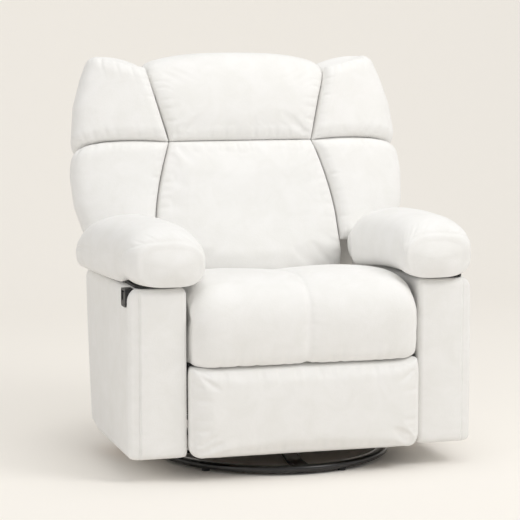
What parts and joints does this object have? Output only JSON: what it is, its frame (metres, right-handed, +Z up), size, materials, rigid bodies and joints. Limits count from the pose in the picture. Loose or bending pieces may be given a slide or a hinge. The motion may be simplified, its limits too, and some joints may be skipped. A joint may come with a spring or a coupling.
{
  "type": "swivel rocker recliner",
  "caption": "Upholstered swivel rocker recliner with pillow-top arms, a winged back, a fold-out footrest on tongs and a round ring base.",
  "frame": {"origin": "on the floor under the middle of the chair", "axes": "+Z up, -Y the way the sitter faces, +X the sitter's left"},
  "size_m": [0.8988, 0.8196, 1.018],
  "materials": {
    "black_steel": "gloss",
    "zinc_steel": "satin",
    "spring_steel": "satin",
    "nylon": "satin",
    "hardwood": "matte",
    "black_board": "matte",
    "webbing": "matte",
    "upholstery": "matte"
  },
  "bodies": {
    "base": {"base_ring": "black_steel", "base_spokes": "black_steel", "floor_glides": "nylon", "lower_swivel_plate": "black_steel", "swivel_race": "nylon", "swivel_kingpin": "zinc_steel"},
    "turntable": {"upper_swivel_plate": "black_steel", "rocker_rail_left": "black_steel", "rocker_rail_right": "black_steel", "lower_spring_seats": "black_steel", "rocker_springs": "spring_steel"},
    "chassis": {"upper_spring_seats": "black_steel", "rocker_cam_left": "hardwood", "rocker_cam_right": "hardwood", "front_channel": "black_steel", "rear_channel": "black_steel", "chassis_bolts": "zinc_steel", "side_plate_left": "zinc_steel", "side_plate_right": "zinc_steel", "seat_frame": "hardwood", "seat_webbing": "webbing", "seat_cushion": "upholstery", "arm_frame_left": "hardwood", "arm_frame_right": "hardwood", "arm_cover_left": "upholstery", "arm_cover_right": "upholstery", "arm_top_board_left": "black_board", "arm_top_board_right": "black_board", "arm_pillow_left": "upholstery", "arm_pillow_right": "upholstery", "rear_skirt": "upholstery", "handle_bezel": "nylon", "handle_pin": "zinc_steel"},
    "handle": {"release_handle": "nylon"},
    "main_links": {"drive_tube": "zinc_steel", "main_link_left": "zinc_steel", "main_link_right": "zinc_steel"},
    "control_links": {"control_link_left": "zinc_steel", "control_link_right": "zinc_steel"},
    "front_links": {"front_link_left": "zinc_steel", "front_link_right": "zinc_steel"},
    "stay_links": {"stay_link_left": "zinc_steel", "stay_link_right": "zinc_steel"},
    "footrest": {"footrest_bracket_left": "zinc_steel", "footrest_bracket_right": "zinc_steel", "footrest_board": "hardwood", "footrest_cushion": "upholstery"},
    "back": {"back_bracket_left": "zinc_steel", "back_bracket_right": "zinc_steel", "back_frame": "hardwood", "back_webbing": "webbing", "lumbar_cushion": "upholstery", "head_cushion": "upholstery", "lower_wing_left": "upholstery", "lower_wing_right": "upholstery", "upper_wing_left": "upholstery", "upper_wing_right": "upholstery", "back_outer_panel": "upholstery"}
  },
  "joints": [
    {"name": "swivel", "type": "hinge", "parent": "base", "child": "turntable", "pos_m": [0, -0.07868, 0.0425], "axis": [0, 0, 1], "continuous": true},
    {"name": "rock", "type": "hinge", "parent": "turntable", "child": "chassis", "pos_m": [0, -0.07868, 0.3273], "axis": [-1, 0, 0], "range_deg": [-4, 10], "stiffness_Nm_per_rad": 900, "springref_deg": -1.61, "deforming": ["rocker_springs"]},
    {"name": "recline", "type": "hinge", "parent": "chassis", "child": "back", "pos_m": [0, 0.09132, 0.335], "axis": [-1, 0, 0], "range_deg": [0, 42]},
    {"name": "footrest_extend", "type": "hinge", "parent": "chassis", "child": "main_links", "pos_m": [0, -0.27168, 0.261], "axis": [-1, 0, 0], "range_deg": [0, 96]},
    {"name": "control_swing", "type": "hinge", "parent": "chassis", "child": "control_links", "pos_m": [0, -0.30968, 0.274], "axis": [-1, 0, 0], "range_deg": [0, 96]},
    {"name": "elbow", "type": "hinge", "parent": "main_links", "child": "front_links", "pos_m": [0, -0.18664, 0.08663], "axis": [-1, 0, 0], "range_deg": [-96, 0]},
    {"name": "stay_swing", "type": "hinge", "parent": "main_links", "child": "stay_links", "pos_m": [0, -0.18214, 0.12763], "axis": [-1, 0, 0], "range_deg": [-96, 0]},
    {"name": "footrest_tip", "type": "hinge", "parent": "front_links", "child": "footrest", "pos_m": [0, -0.31217, 0.20999], "axis": [-1, 0, 0], "range_deg": [0, 96]},
    {"name": "release", "type": "hinge", "parent": "chassis", "child": "handle", "pos_m": [-0.4346, -0.32368, 0.4578], "axis": [0, 1, 0], "range_deg": [0, 40], "stiffness_Nm_per_rad": 0.2, "springref_deg": -5.73}
  ],
  "couplings": [
    {"joint": "control_swing", "follows": "footrest_extend", "ratio": 1},
    {"joint": "elbow", "follows": "footrest_extend", "ratio": -1},
    {"joint": "stay_swing", "follows": "footrest_extend", "ratio": -1},
    {"joint": "footrest_tip", "follows": "footrest_extend", "ratio": 1}
  ]
}
